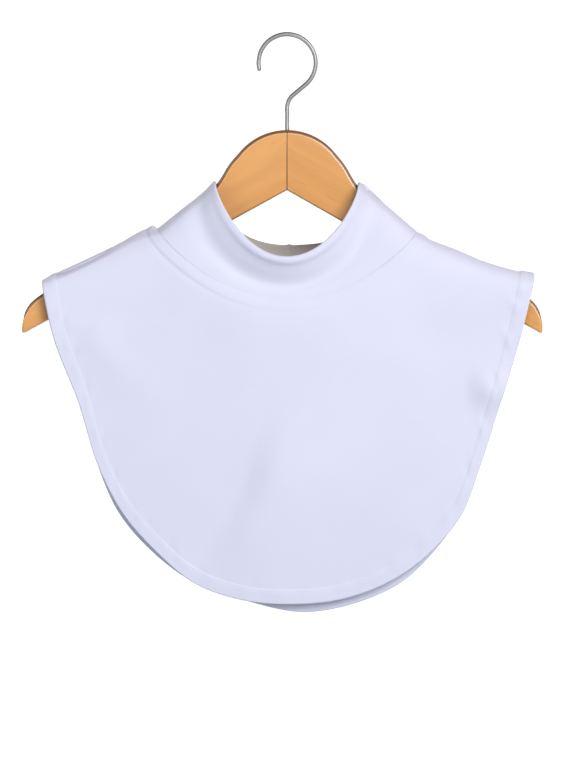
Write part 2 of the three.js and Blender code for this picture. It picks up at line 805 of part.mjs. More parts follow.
const socket = socketGeometry();
addPiece('front_panel', panelGeometry('front'), cloth);
addPiece('back_panel', panelGeometry('back'), cloth);
addPiece('collar_band', collarGeometry(), cloth);
addPiece('hanger_left_arm', boardGeometry('left', socket), wood);
addPiece('hanger_right_arm', boardGeometry('right', socket), wood);
addPiece('hanger_hook', hookGeometry(), steel);

export default group;
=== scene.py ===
import math

import bpy
import numpy as np
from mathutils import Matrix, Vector


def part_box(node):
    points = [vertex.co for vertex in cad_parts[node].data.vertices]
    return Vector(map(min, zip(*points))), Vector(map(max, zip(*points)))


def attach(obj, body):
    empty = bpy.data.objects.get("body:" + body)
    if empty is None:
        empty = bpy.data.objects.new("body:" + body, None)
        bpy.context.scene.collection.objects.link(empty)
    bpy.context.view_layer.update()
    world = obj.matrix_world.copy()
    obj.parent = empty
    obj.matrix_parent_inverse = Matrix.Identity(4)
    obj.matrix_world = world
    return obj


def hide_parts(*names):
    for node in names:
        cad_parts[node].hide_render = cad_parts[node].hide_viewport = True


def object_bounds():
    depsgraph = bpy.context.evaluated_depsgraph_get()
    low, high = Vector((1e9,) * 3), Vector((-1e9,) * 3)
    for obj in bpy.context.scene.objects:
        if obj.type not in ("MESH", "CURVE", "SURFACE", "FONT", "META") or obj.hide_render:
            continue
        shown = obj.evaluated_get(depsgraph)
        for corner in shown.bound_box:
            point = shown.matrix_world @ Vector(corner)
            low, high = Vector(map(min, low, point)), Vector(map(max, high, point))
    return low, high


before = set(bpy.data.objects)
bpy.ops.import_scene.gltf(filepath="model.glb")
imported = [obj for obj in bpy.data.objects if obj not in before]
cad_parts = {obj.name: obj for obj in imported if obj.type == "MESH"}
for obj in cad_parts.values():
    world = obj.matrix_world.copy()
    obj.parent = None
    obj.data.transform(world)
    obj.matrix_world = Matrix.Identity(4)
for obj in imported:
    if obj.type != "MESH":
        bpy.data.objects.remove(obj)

cad_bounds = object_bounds()

# The pieces are worked out here again, finer, on the shape of their solids. Lengths are in metres. They are
# read from the boxes of the nodes, or are a share of such a length, or are small sizes of the make.

MM = 0.001
SIGN = {"left": -1.0, "right": 1.0}
FACING = {"front": -1.0, "back": 1.0}


def lowest(node):
    return Vector(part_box(node)[0])


def highest(node):
    return Vector(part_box(node)[1])


# What the boxes of the solids leave out or add, by rounded tips, walls and the bump at the neck
TIP_ROUND_LOSS = 1.2 * MM
BOW_LOSS = 0.4 * MM
COLLAR_WALL_OVER = 0.65 * MM
HEM_OVER = {"left": 0.6 * MM, "right": 0.5 * MM}
SHOULDER_OVER = 3.8 * MM

# Sizes read from the frame
WIRE = highest("hanger_hook").z
HOOK_BORE = highest("hanger_hook").x - lowest("hanger_hook").x - 2 * WIRE
HOOK_RISE = -highest("hanger_left_arm").z
ARM_THICKNESS = 2 * highest("hanger_left_arm").y
ARM_REACH = {"left": -lowest("hanger_left_arm").x, "right": highest("hanger_right_arm").x}
ARM_DROP = -lowest("hanger_left_arm").z - HOOK_RISE + TIP_ROUND_LOSS
ARM_BOW = -lowest("hanger_left_arm").y - ARM_THICKNESS / 2 + BOW_LOSS
NECK_HALF = (highest("collar_band").x - lowest("collar_band").x) / 2 - COLLAR_WALL_OVER
SHOULDER_REACH = {
    "left": -lowest("front_panel").x - HEM_OVER["left"],
    "right": highest("front_panel").x - HEM_OVER["right"],
}
PANEL_LENGTH = highest("back_panel").z - lowest("back_panel").z - SHOULDER_OVER

# Hanger
CROWN_RADIUS = 0.4815 * NECK_HALF
CROWN_TURN = math.radians(50)
HEAD_HEIGHT = 0.2956 * ARM_DROP
ARM_EDGE_ROUND = 3.8 * MM
BOTTOM_ROUND_SHARE = 0.45
ARM_TIP_ROUND = 2.6 * MM
ROUND_LIMIT = 1 / 3
TOP_ROUND_LIMIT = 0.4
CORNER_STEPS = 10
CROWN_STEPS = 30
SLOPE_STEPS = 90
TIP_STEPS = 7
TIP_INSET_SHARE = 0.9
SLOPE_PROBE = 0.5 * MM
JOINT_GROOVE = 0.5 * MM
JOINT_STAIN_TOP_SHARE = 0.35

# Sections of a board beside its joint: distance from it, inset, share of the dark glue line
JOINT_SECTIONS = [
    (0.00 * MM, JOINT_GROOVE, 1.0),
    (0.15 * MM, JOINT_GROOVE / 2, 1.0),
    (0.35 * MM, 0.0, 0.9),
    (0.60 * MM, 0.0, 0.0),
]

# Upper edge of a board below its crown: share of the reach, share of the drop
ARM_EDGE = np.array([
    [0.00, 0.000],
    [0.05, 0.070],
    [0.10, 0.165],
    [0.14, 0.218],
    [0.20, 0.280],
    [0.29, 0.365],
    [0.37, 0.440],
    [0.44, 0.490],
    [0.60, 0.562],
    [0.80, 0.672],
    [0.89, 0.762],
    [0.95, 0.815],
    [0.983, 0.865],
    [1.00, 0.930],
])

# Hook
HOOK_LEAN = math.radians(50)
HOOK_BEND = 13.5 * MM
HOOK_ROOT = 6 * MM
HOOK_END = math.radians(192)
HOOK_BEND_STEPS = 14
HOOK_ROUND_STEPS = 90
HOOK_SIDES = 24
HOOK_TIP_STEPS = 6
HOOK_TIP_SPLIT = 6.3

# Cloth
COLUMNS_PER_SIDE = 110
OUTLINE_STEPS = 900
PANEL_WALL = 1.6 * MM
HEM_WALL = 2.8 * MM
HEM_WIDTH = 12 * MM
SEAM_ALLOWANCE = 9 * MM
SEAM_ALLOWANCE_WALL = 2.4 * MM
COLLAR_WALL = 2.6 * MM
WALL_CHANGE = 3 * MM
SEAM_CURL = {"centre": 0.85, "shoulder": 0.72}
SEAM_CURL_ROUND = 1.1 * MM
CLOTH_CLEARANCE = 0.95 * MM
SEAM_GAP = 0.1 * MM
WRAP_DROP = 9 * MM
SWELL = {"front": 10 * MM, "back": 4 * MM}
SWELL_DROP = 9 * MM
CLOTH_END_SHARE = 0.97
FOLD_FADE = 20 * MM
FOLD_DEPTH = 3 * MM
ROOF_CROWN = 1 * MM
LIP_CROWN = -0.8 * MM
LEDGE_DEPTH = 7.5 * MM
LEDGE_ROUND = 9 * MM
LEDGE_FADE = 95 * MM
LEDGE_POWER = 3
NECK_BUMP = {"left": 5.0 * MM, "right": 1.4 * MM}
NECK_BUMP_PLACE = 5.5 * MM
NECK_BUMP_WIDTH = 3.6 * MM
NECK_BUMP_FADE = {"left": 26 * MM, "right": 3.6 * MM}
NECK_BUMP_TURN = 0.10
SHOULDER_DROP = {"left": 0.398 * NECK_HALF, "right": 0.324 * NECK_HALF}
HEM_STAND_OFF = {"front": 0 * MM, "back": -10 * MM}
HEM_STAND_OFF_POWER = 0.7
CLOTH_SLACK = 1.5 * MM
CLOTH_STAND_OFF = ARM_THICKNESS / 2 + CLOTH_CLEARANCE + HEM_WALL / 2 + CLOTH_SLACK
SHOULDER_SAG = {"left": -1.8 * MM, "right": 4.6 * MM}
SHOULDER_SAG_FADE = 45 * MM
SHOULDER_SAG_POWER = 0.6
SHOULDER_GROOVE_ROUND = 1.7 * MM
SHOULDER_GROOVE_SHARE = 0.2
NECK_DIP = {"left": 0.5 * MM, "right": 0.0}
NECK_DIP_WIDTH = 1.8 * MM
NECK_DIP_REACH = 0.75
NECK_DIP_END_POWER = 4
PUCKER_DEPTH = 0.35 * MM
PUCKER_LENGTH = 27 * MM
PUCKER_SPREAD = 6 * MM
PUCKER_WAVES = [(1.0, 1.00, 0.0), (0.6, 1.71, 1.0), (0.4, 0.37, 2.0)]
STITCH_GROOVE = 0.35 * MM
STITCH_GROOVE_WIDTH = 0.6 * MM
STITCH_PLACE = HEM_WIDTH - 1.5 * MM
CORNER_LIFT = {"left": 0.5 * MM, "right": 1.3 * MM}
CORNER_LIFT_TURN = 0.07
CORNER_LIFT_EDGE = 4 * MM
RIM_RIDGE = 1.1 * MM
RIM_RIDGE_PLACE = 5.0 * MM
RIM_RIDGE_WIDTH = 2.4 * MM
RIM_TUCK = 1.4 * MM
BACK_SEAM_PLACE = 1.7 * MM
BACK_SEAM_WIDTH = 1.5 * MM
BACK_SEAM_DEPTH = 0.5 * MM
BACK_SEAM_LIFT = 1.0 * MM

# Wrap of the cloth over the boards: share of the way from neck to hem, height that it rolls over in mm
ROLL = {
    "left": [[0.00, 9.0], [0.14, 5.0], [0.30, 5.0], [0.50, 6.0], [0.85, 6.5], [1.00, 5.5]],
    "right": [[0.00, 9.0], [0.10, 6.0], [0.30, 11.0], [0.85, 13.0], [1.00, 8.0]],
}
ROLL = {side: np.array(rows) * (1, MM) for side, rows in ROLL.items()}

# Turn of the shoulder seam to the front of the boards' tops: share of the way, turn in degrees
SEAM_ROLL = {
    "left": [[0.00, 0], [0.12, -15], [0.26, 0], [0.42, 50], [0.62, 64], [0.85, 52], [1.00, 0]],
    "right": [[0.00, 0], [0.30, -12], [0.70, -12], [1.00, 0]],
}
SEAM_ROLL = {side: np.array(rows) * (1, math.radians(1)) for side, rows in SEAM_ROLL.items()}

# Loops of the collar: reach to the left and right, bulge, narrowing, drop and stand-off in front and behind
SEAM = {
    "reach": {"left": NECK_HALF, "right": NECK_HALF},
    "bulge": 0.0,
    "narrowing": 1.0,
    "drop": {"front": 0.528 * NECK_HALF, "back": 0.417 * NECK_HALF},
    "drop_power": {"front": {"left": 1.8, "right": 1.8}, "back": {"left": 1.6, "right": 1.6}},
    "stand_off": {"front": 8 * MM, "back": 2 * MM},
    "flare_power": 1.3,
}
CREASE = {
    "reach": {"left": 0.620 * NECK_HALF, "right": 0.565 * NECK_HALF},
    "bulge": 0.120 * NECK_HALF,
    "narrowing": 0.85,
    "drop": {"front": 0.787 * NECK_HALF, "back": 0.630 * NECK_HALF},
    "drop_power": {"front": {"left": 1.3, "right": 1.3}, "back": {"left": 0.95, "right": 0.85}},
    "stand_off": {"front": 5 * MM, "back": 12 * MM},
    "flare_power": 2.0,
}
RIM = {
    "reach": {"left": 0.5556 * NECK_HALF, "right": 0.5556 * NECK_HALF},
    "bulge": 0.0,
    "narrowing": 1.0,
    "drop": {"front": 0.583 * NECK_HALF, "back": 0.480 * NECK_HALF},
    "drop_power": {"front": {"left": 1.5, "right": 1.45}, "back": {"left": 0.80, "right": 0.28}},
    "stand_off": {"front": 18 * MM, "back": 34 * MM},
    "flare_power": 0.9,
}
SIDE_CROWDING = 1.3

# Quarters of the collar in their order round the neck: half, side, whether it runs toward the shoulder
COLLAR_ORDER = [
    ("front", "left", False),
    ("front", "right", True),
    ("back", "right", False),
    ("back", "left", True),
]

# Outlines below the shoulder corners: share of the panel's length, then of the left and right reach
OUTLINE = {
    "front": np.array([
        [0.277, 0.951, 0.940],
        [0.446, 0.852, 0.862],
        [0.615, 0.771, 0.781],
        [0.740, 0.670, 0.708],
        [0.840, 0.534, 0.582],
        [0.918, 0.390, 0.415],
        [0.964, 0.196, 0.224],
    ]),
    "back": np.array([
        [0.277, 0.943, 0.932],
        [0.446, 0.846, 0.855],
        [0.615, 0.781, 0.776],
        [0.740, 0.695, 0.712],
        [0.840, 0.562, 0.603],
        [0.922, 0.392, 0.472],
        [0.975, 0.160, 0.300],
    ]),
}
BOTTOM = {"front": (0.977, 0.010), "back": (1.003, 0.060)}

# Dents and folds: place across and down, half width, half height, slant, share of the fold depth
FOLDS = {
    "front": [
        (-0.213, 0.861, 0.110, 0.070, 0.40, 0.50),
        (-0.903, 0.250, 0.020, 0.020, 0.00, 0.25),
        (0.560, 0.250, 0.150, 0.060, -0.35, 0.45),
        (0.150, 0.620, 0.260, 0.170, 0.10, -0.50),
        (-0.480, 0.600, 0.160, 0.150, 0.20, -0.45),
    ],
    "back": [
        (-0.450, 0.420, 0.130, 0.120, 0.30, 0.70),
        (0.480, 0.520, 0.150, 0.140, -0.30, 0.80),
        (0.020, 0.700, 0.120, 0.200, 0.10, -0.80),
    ],
}

# Steps where the front sinks to the left: place across and down, half length, width, turn, depth's share
STEPS = [
    (0.813, 0.413, 0.046, 0.062, 0.00, 1.60),
    (-0.045, 0.630, 0.115, 0.085, 0.30, 1.50),
    (-0.165, 0.820, 0.155, 0.095, 0.57, 2.10),
    (-0.780, 0.285, 0.050, 0.038, 0.84, 0.75),
    (-0.885, 0.245, 0.030, 0.024, 0.10, 0.35),
]
STEP_FADE = 0.16 * PANEL_LENGTH


def mix(start, end, share):
    return start + (end - start) * share


def smooth_step(value):
    value = np.clip(value, 0.0, 1.0)
    return value * value * (3 - 2 * value)


def cubic_shares(share):
    square = share * share
    cube = square * share
    return 2 * cube - 3 * square + 1, cube - 2 * square + share, 3 * square - 2 * cube, cube - square


def smooth_value(rows, place):
    """Second column of a table at places in its first, on a smooth curve through the rows."""
    xs, ys = rows[:, 0], rows[:, 1]
    before = np.maximum(np.arange(len(xs)) - 1, 0)
    after = np.minimum(np.arange(len(xs)) + 1, len(xs) - 1)
    slopes = (ys[after] - ys[before]) / (xs[after] - xs[before])
    index = np.clip(np.searchsorted(xs, place, side="left") - 1, 0, len(xs) - 2)
    span = xs[index + 1] - xs[index]
    first, first_slope, last, last_slope = cubic_shares((place - xs[index]) / span)
    from_slopes = first_slope * slopes[index] + last_slope * slopes[index + 1]
    return first * ys[index] + last * ys[index + 1] + from_slopes * span


def smooth_points(points, shares):
    """Curve through all the points, at shares from 0 to 1 with an equal share for each span."""
    count = len(points)
    spans = np.linalg.norm(np.diff(points, axis=0), axis=-1)[..., None]
    directions = np.diff(points, axis=0) / spans
    slopes = [directions[0]]
    for at in range(1, count - 1):
        before, after = spans[at - 1], spans[at]
        slopes.append((directions[at - 1] * after + directions[at] * before) / (before + after))
    slopes.append(directions[-1])
    result = []
    for share in shares:
        place = min(max(share, 0.0), 1.0) * (count - 1)
        index = min(int(place), count - 2)
        first, first_slope, last, last_slope = cubic_shares(place - index)
        ends = first * points[index] + last * points[index + 1]
        bends = first_slope * slopes[index] + last_slope * slopes[index + 1]
        result.append(ends + bends * spans[index])
    return np.array(result)


def arm_top(side, distance):
    arc_reach = CROWN_RADIUS * math.sin(CROWN_TURN)
    arc_drop = CROWN_RADIUS * (1 - math.cos(CROWN_TURN))
    on_arc = -CROWN_RADIUS + np.sqrt(np.maximum(CROWN_RADIUS ** 2 - distance ** 2, 0.0))
    share = (distance - arc_reach) / (ARM_REACH[side] - arc_reach)
    past_arc = -mix(arc_drop, ARM_DROP, smooth_value(ARM_EDGE, np.clip(share, 0.0, 1.0)))
    return -HOOK_RISE + np.where(distance <= arc_reach, on_arc, past_arc)


def arm_bottom(side, distance):
    return -HOOK_RISE - mix(HEAD_HEIGHT, ARM_DROP, distance / ARM_REACH[side])


def bow_at(side, distance):
    return -ARM_BOW * (distance / ARM_REACH[side]) ** 2


def fold_height(side, distance):
    """Height of the cloth's middle where it lies on the upper edge of a board."""
    distance = np.asarray(distance, dtype=float)
    ahead, behind = arm_top(side, distance + SLOPE_PROBE), arm_top(side, distance - SLOPE_PROBE)
    slope = (ahead - behind) / (2 * SLOPE_PROBE)
    rest = (CLOTH_CLEARANCE + COLLAR_WALL / 2) * np.hypot(1.0, slope)
    return arm_top(side, distance) + rest


def wrap_share(progress):
    """Share of the stand-off that cloth has reached on its way round the upper edge."""
    left = 1 - np.clip(progress, 0.0, 1.0)
    return np.sqrt(np.maximum(1 - left * left, 0.0))


def wrap_progress(side, distance, height):
    """How far cloth has gone round the upper edge of a board, 0 on top and 1 where it hangs down."""
    return np.maximum(0.0, fold_height(side, distance) - height) / WRAP_DROP


def turn_at(along):
    """Turn round half a loop, from the shoulder at 0 to the middle of the front or back."""
    return (math.pi / 2) * along ** SIDE_CROWDING


def swell_at(half, drop):
    """How far cloth bellies out beyond its stand-off at a drop below the upper edge of the wood."""
    return SWELL[half] * (1 - np.exp(-np.maximum(drop, 0.0) / SWELL_DROP))


def loop_points(loop, half, side, along):
    """Points of a quarter of one of the collar's loops."""
    turn = turn_at(along)
    low = np.sin(turn)
    reach = loop["reach"][side]
    cosine = np.maximum(np.cos(turn), 0.0)
    distance = (reach + loop["bulge"] * np.sin(2 * turn)) * cosine ** loop["narrowing"]
    own = float(fold_height(side, reach))
    shared = sum(float(fold_height(name, loop["reach"][name])) for name in SIGN) / 2
    height = mix(own, shared, low * low) - loop["drop"][half] * low ** loop["drop_power"][half][side]
    wrapped = CLOTH_STAND_OFF * wrap_share(wrap_progress(side, distance, height))
    wrapped = wrapped + swell_at(half, fold_height(side, distance) - height)
    off = wrapped + loop["stand_off"][half] * low ** loop["flare_power"]
    depth = bow_at(side, distance) + FACING[half] * off
    return np.stack([SIGN[side] * distance, depth, height], axis=-1)


def keep_off_board(half, side, points, progress):
    """Cloth lifted off a board's upper edge, less where the seam has wrapped, and clear of its face."""
    distance = np.abs(points[..., 0])
    rest = fold_height(side, np.minimum(distance, ARM_REACH[side] * CLOTH_END_SHARE))
    rest = rest - WRAP_DROP * np.clip(progress[0], 0.0, 1.0)
    on_edge = 1 - np.clip(progress, 0.0, 1.0)
    middle = bow_at(side, distance)
    off = np.maximum(FACING[half] * (points[..., 1] - middle), CLOTH_STAND_OFF * wrap_share(progress))
    height = points[..., 2] + on_edge * np.maximum(0.0, rest - points[..., 2])
    return np.stack([points[..., 0], middle + FACING[half] * off, height], axis=-1)


def collar_profile(half, side, along):
    """Loops of the collar from its seam over the roof and the crease to the lip and the rim."""
    low = np.sin(turn_at(along))
    seam = loop_points(SEAM, half, side, along)
    crease = loop_points(CREASE, half, side, along)
    rim = loop_points(RIM, half, side, along)
    roof = (seam + crease) / 2
    roof[:, 1] += FACING[half] * ROOF_CROWN * low
    lip = (crease + rim) / 2
    lip[:, 1] += FACING[half] * LIP_CROWN * low
    lip[:, 2] -= LIP_CROWN * low
    return np.array([seam, roof, crease, lip, rim])


def outline_points(half):
    """Points of a panel's outline from the left shoulder corner round the bottom to the right one."""
    neck = sum(float(fold_height(name, NECK_HALF)) for name in SIGN) / 2
    rows = OUTLINE[half]
    heights = neck - rows[:, 0] * PANEL_LENGTH

    def corner(side):
        height = float(fold_height(side, NECK_HALF)) - SHOULDER_DROP[side]
        return [SIGN[side] * SHOULDER_REACH[side], 0.0, height]

    def edge(side, shares):
        reach = SIGN[side] * SHOULDER_REACH[side]
        return [[share * reach, 0.0, height] for share, height in zip(shares, heights)]

    left = edge("left", rows[:, 1])
    right = edge("right", rows[:, 2])
    down, across = BOTTOM[half]
    lowest_point = [across * SHOULDER_REACH["right"], 0.0, neck - down * PANEL_LENGTH]
    return np.array([corner("left"), *left, lowest_point, *reversed(right), corner("right")])


def half_outline(half, side):
    """Half of an outline from its shoulder corner to the lowest point, with the length so far."""
    shares = np.linspace(0.0 if side == "left" else 1.0, 0.5, OUTLINE_STEPS)
    fine = smooth_points(outline_points(half), shares)
    steps = np.linalg.norm(np.diff(fine, axis=0), axis=-1)
    return fine, np.concatenate([[0.0], np.cumsum(steps)])


HALF_OUTLINES = {(half, side): half_outline(half, side) for half in FACING for side in SIGN}


def outline_share(along):
    """Share of the length of half an outline for each column, closer together at the shoulder."""
    return 1.5 * along ** 2 - 0.5 * along ** 3


def outline_at(half, side, along):
    """Points of half an outline, one a column."""
    fine, lengths = HALF_OUTLINES[half, side]
    target = outline_share(along) * lengths[-1]
    return np.stack([np.interp(target, lengths, fine[:, axis]) for axis in range(3)], axis=-1)


def folds_at(half, x, height):
    """Depth of a panel's dents and folds."""
    neck = float(fold_height("left", NECK_HALF))
    across = x / SHOULDER_REACH["right"]
    down = (neck - height) / PANEL_LENGTH
    total = np.zeros_like(x)
    for place_across, place_down, half_width, half_height, slant, depth in FOLDS[half]:
        below = (down - place_down) / half_height
        beside = (across - place_across) / half_width + slant * below
        total += depth * np.exp(-(below ** 2 + beside ** 2))
    return FOLD_DEPTH * total


def steps_at(x, height):
    """Rise of the front panel across its steps, sharp on the left of each line and fading to its right."""
    neck = float(fold_height("left", NECK_HALF))
    total = np.zeros_like(x)
    for place_across, place_down, half_length, width, turn, depth in STEPS:
        out = x - place_across * SHOULDER_REACH["right"]
        up = height - neck + place_down * PANEL_LENGTH
        along = (out * math.sin(turn) + up * math.cos(turn)) / (half_length * PANEL_LENGTH)
        beside = out * math.cos(turn) - up * math.sin(turn)
        rise = smooth_step(beside / (width * PANEL_LENGTH) + 1)
        fade = np.exp(-(np.maximum(beside, 0.0) / STEP_FADE) ** 2)
        total += depth * rise * fade * np.exp(-along ** 2)
    return FOLD_DEPTH * total


def shoulder_wrap(half, side, way, drop):
    """Height that cloth rolls over, share of it gone by, turn from the top and turn from the seam."""
    roll = smooth_value(ROLL[side], way)
    progress = drop / roll
    even_turn = np.arccos(1 - np.clip(progress, 0.0, 1.0))
    seam_turn = SEAM_GAP / 2 / CLOTH_STAND_OFF - FACING[half] * smooth_value(SEAM_ROLL[side], way)
    wrap_turn = seam_turn + (math.pi / 2 - seam_turn) * even_turn / (math.pi / 2)
    return roll, progress, even_turn, wrap_turn


def neck_bump(side, along, distance):
    """Rise of the shoulder beside the neck seam, steep at the collar and slow toward the hem."""
    from_bump = distance - NECK_BUMP_PLACE
    width = np.where(from_bump > 0, NECK_BUMP_FADE[side], NECK_BUMP_WIDTH)
    return NECK_BUMP[side] * np.exp(-(from_bump / width) ** 2 - (along / NECK_BUMP_TURN) ** 2)


def corner_lift(side, along, to_hem):
    """Rise of the thicker hem where it goes over the board."""
    at_hem = smooth_step((HEM_WIDTH - to_hem) / CORNER_LIFT_EDGE + 0.5)
    return CORNER_LIFT[side] * at_hem * np.exp(-(along / CORNER_LIFT_TURN) ** 2)


def hang_at(half, low, share, distance, drop):
    """How far a panel hangs out from the boards' faces, without its folds."""
    way = np.clip(share, 0.0, 1.0)
    neck_off = SEAM["stand_off"][half] * low ** SEAM["flare_power"]
    swell = swell_at(half, drop) * (1 - way ** 2 * low)
    depth = LEDGE_DEPTH if half == "front" else 0.0
    depth = depth * low ** LEDGE_POWER
    ledge = depth * (1 - np.exp(-distance / LEDGE_ROUND)) * np.exp(-distance / LEDGE_FADE)
    toward_hem = np.maximum(share, 0.0) ** HEM_STAND_OFF_POWER
    return mix(neck_off, HEM_STAND_OFF[half] * low, toward_hem) + ledge + swell


def panel_middle(half, side, along, distance):
    """Middle of a panel's wall. along has one value a column, distance one value a row and column."""
    low = np.sin(turn_at(along))
    inner = loop_points(SEAM, half, side, along)
    outer = outline_at(half, side, along)
    length = np.hypot(outer[:, 0] - inner[:, 0], outer[:, 2] - inner[:, 2])
    share = distance / length
    way = np.clip(share, 0.0, 1.0)
    x = mix(inner[:, 0], outer[:, 0], share)
    across = np.abs(x)
    side_length = HALF_OUTLINES[half, side][1][-1] * outline_share(along)
    inner_drop = np.maximum(0.0, fold_height(side, np.abs(inner[:, 0])) - inner[:, 2])
    drop = mix(inner_drop, side_length, share)
    roll, progress, even_turn, wrap_turn = shoulder_wrap(half, side, way, drop)
    sag = SHOULDER_SAG[side] * np.sin(math.pi * way) ** SHOULDER_SAG_POWER
    sag = sag * np.exp(-(side_length / SHOULDER_SAG_FADE) ** 2)
    height = mix(inner[:, 2], outer[:, 2], share) - sag - roll * (np.cos(even_turn) - np.cos(wrap_turn))
    below_board = (arm_bottom(side, across) - height) / FOLD_FADE
    sink = folds_at(half, x, height) - (steps_at(x, height) if half == "front" else 0.0)
    sink = sink * np.clip(below_board, 0.0, 1.0)
    on_face = CLOTH_STAND_OFF * np.sin(wrap_turn)
    off = on_face + hang_at(half, low, share, distance, drop) - sink
    off = np.where(below_board > 1, off, np.maximum(off, on_face))
    rest = fold_height(side, np.minimum(across, ARM_REACH[side] * CLOTH_END_SHARE))
    rest = rest - roll * (1 - np.cos(wrap_turn))
    height = height + (1 - np.clip(progress, 0.0, 1.0)) * np.maximum(0.0, rest - height)
    height = height + neck_bump(side, along, distance) + corner_lift(side, along, length - distance)
    return np.stack([x, bow_at(side, across) + FACING[half] * off, height], axis=-1)


# Meshes


def mesh_object(name, points, faces, place=None):
    """Smooth mesh of points and faces, with each point's place in the flat cloth where there is one."""
    mesh = bpy.data.meshes.new(name)
    mesh.from_pydata([tuple(point) for point in points], [], faces)
    mesh.validate()
    mesh.shade_smooth()
    if place is not None:
        layer = mesh.attributes.new("cloth_place", "FLOAT_VECTOR", "POINT")
        layer.data.foreach_set("vector", np.asarray(place, dtype=np.float32).ravel())
    piece = bpy.data.objects.new(name, mesh)
    bpy.context.scene.collection.objects.link(piece)
    return piece


def grid_normals(grid, half, round_loop, edge_across):
    """Normals of a grid with rows first, turned away from the inside of the garment."""
    if round_loop:
        across = np.roll(grid, -1, axis=1) - np.roll(grid, 1, axis=1)
    else:
        across = np.gradient(grid, axis=1)
        across[:, 0] = edge_across
        across[:, -1] = edge_across
    down = np.gradient(grid, axis=0)
    normals = np.cross(across, down)
    normals /= np.linalg.norm(normals, axis=-1)[..., None]
    if half is None:
        depth_weight, rise_weight = 3, 0.6
        rise = rise_weight * np.abs(grid[..., 0])
        outside = np.stack([grid[..., 0], depth_weight * grid[..., 1], rise], axis=-1)
    else:
        rise = 0.4
        outside = np.broadcast_to(np.array([0.0, FACING[half], rise]), grid.shape)
    facing = np.sum(normals * outside, axis=-1)
    return np.where((facing < 0)[..., None], -normals, normals)


def shell_faces(rows, columns, round_loop):
    """Faces of an outer and an inner grid, rows first, joined at every open edge."""
    count = rows * columns
    faces = []

    def outer(row, column):
        return row * columns + column % columns

    def inner(row, column):
        return count + outer(row, column)

    spans = columns if round_loop else columns - 1
    for row in range(rows - 1):
        for column in range(spans):
            after = column + 1
            below = row + 1
            faces.append((outer(row, column), outer(below, column), outer(below, after), outer(row, after)))
            faces.append((inner(row, column), inner(row, after), inner(below, after), inner(below, column)))
    for column in range(spans):
        after = column + 1
        last = rows - 1
        faces.append((outer(0, column), outer(0, after), inner(0, after), inner(0, column)))
        faces.append((outer(last, column), inner(last, column), inner(last, after), outer(last, after)))
    if not round_loop:
        last = columns - 1
        for row in range(rows - 1):
            faces.append((outer(row, 0), inner(row, 0), inner(row + 1, 0), outer(row + 1, 0)))
            faces.append((outer(row, last), outer(row + 1, last), inner(row + 1, last), inner(row, last)))
    return faces


def edge_round(distance, radius):
    """Share of the full half thickness near a rounded edge."""
    return np.sqrt(np.maximum(1 - (1 - np.clip(distance / radius, 0.0, 1.0)) ** 2, 0.0))


def panel_rows(length):
    """Distances from the neck seam for each row and column, close together at the seam and the hem."""
    seam_edge, seam_rest, seam_end = 2 * MM, 3 * MM, 13 * MM
    hem_edge, hem_start = 2 * MM, 16 * MM
    near_seam = np.concatenate([np.linspace(0.0, seam_edge, 9), np.linspace(seam_rest, seam_end, 14)])
    body = np.linspace(0.0, 1.0, 74)[1:-1]
    at_edge = np.linspace(1.0, 0.0, 10)[1:] ** 2 * hem_edge
    near_hem = np.concatenate([np.linspace(hem_start, hem_edge, 34), at_edge])
    rows = [np.full_like(length, value) for value in near_seam]
    rows += [mix(seam_end, length - hem_start, share) for share in body]
    rows += [length - value for value in near_hem]
    return np.array(rows)


def hem_puckers(half, along):
    """Small waves beside the hem, one value a column from the left corner round to the right one."""
    lengths = {side: HALF_OUTLINES[half, side][1][-1] * outline_share(along) for side in SIGN}
    round_hem = np.concatenate([lengths["left"], 2 * lengths["left"][-1] - lengths["right"][::-1][1:]])
    turn = 2 * math.pi * round_hem / PUCKER_LENGTH
    waves = sum(share * np.sin(pace * turn + start) for share, pace, start in PUCKER_WAVES)
    return PUCKER_DEPTH * waves


def shoulder_curl(half, along):
    """Share of the outer half wall beside the shoulder seams, which sink to a groove."""
    curls = []
    for side in SIGN:
        from_seam = HALF_OUTLINES[half, side][1][-1] * outline_share(along)
        curls.append(mix(SHOULDER_GROOVE_SHARE, 1.0, edge_round(from_seam, SHOULDER_GROOVE_ROUND)))
    return np.concatenate([curls[0], curls[1][::-1][1:]])


def neck_seam_curl(beside, distance):
    """Share of the outer half wall beside the neck seam, deeper at the shoulders than at the centre."""
    at_seam = mix(SEAM_CURL["centre"], SEAM_CURL["shoulder"], beside)
    return mix(at_seam, 1.0, edge_round(distance, SEAM_CURL_ROUND))


def neck_dip(half, along, distance):
    """Depth of the soft line where the neck seam's allowance ends, in front on the side where it shows."""
    if half == "back":
        return 0.0
    fade = np.exp(-(along / NECK_DIP_REACH) ** NECK_DIP_END_POWER)
    dips = np.concatenate([NECK_DIP["left"] * fade, NECK_DIP["right"] * fade[::-1][1:]])
    from_line = distance - SEAM_ALLOWANCE - NECK_DIP_WIDTH
    return dips * np.exp(-(from_line / NECK_DIP_WIDTH) ** 2)


def panel_wall(distance, to_hem):
    """Thickness of a panel with its seam allowance, hem and stitch groove."""
    wall = np.full_like(distance, PANEL_WALL)
    in_allowance = smooth_step((SEAM_ALLOWANCE - distance) / WALL_CHANGE + 0.5)
    in_hem = smooth_step((HEM_WIDTH - to_hem) / WALL_CHANGE + 0.5)
    wall += (SEAM_ALLOWANCE_WALL - PANEL_WALL) * in_allowance + (HEM_WALL - PANEL_WALL) * in_hem
    wall -= STITCH_GROOVE * np.exp(-((to_hem - STITCH_PLACE) / STITCH_GROOVE_WIDTH) ** 2)
    return wall


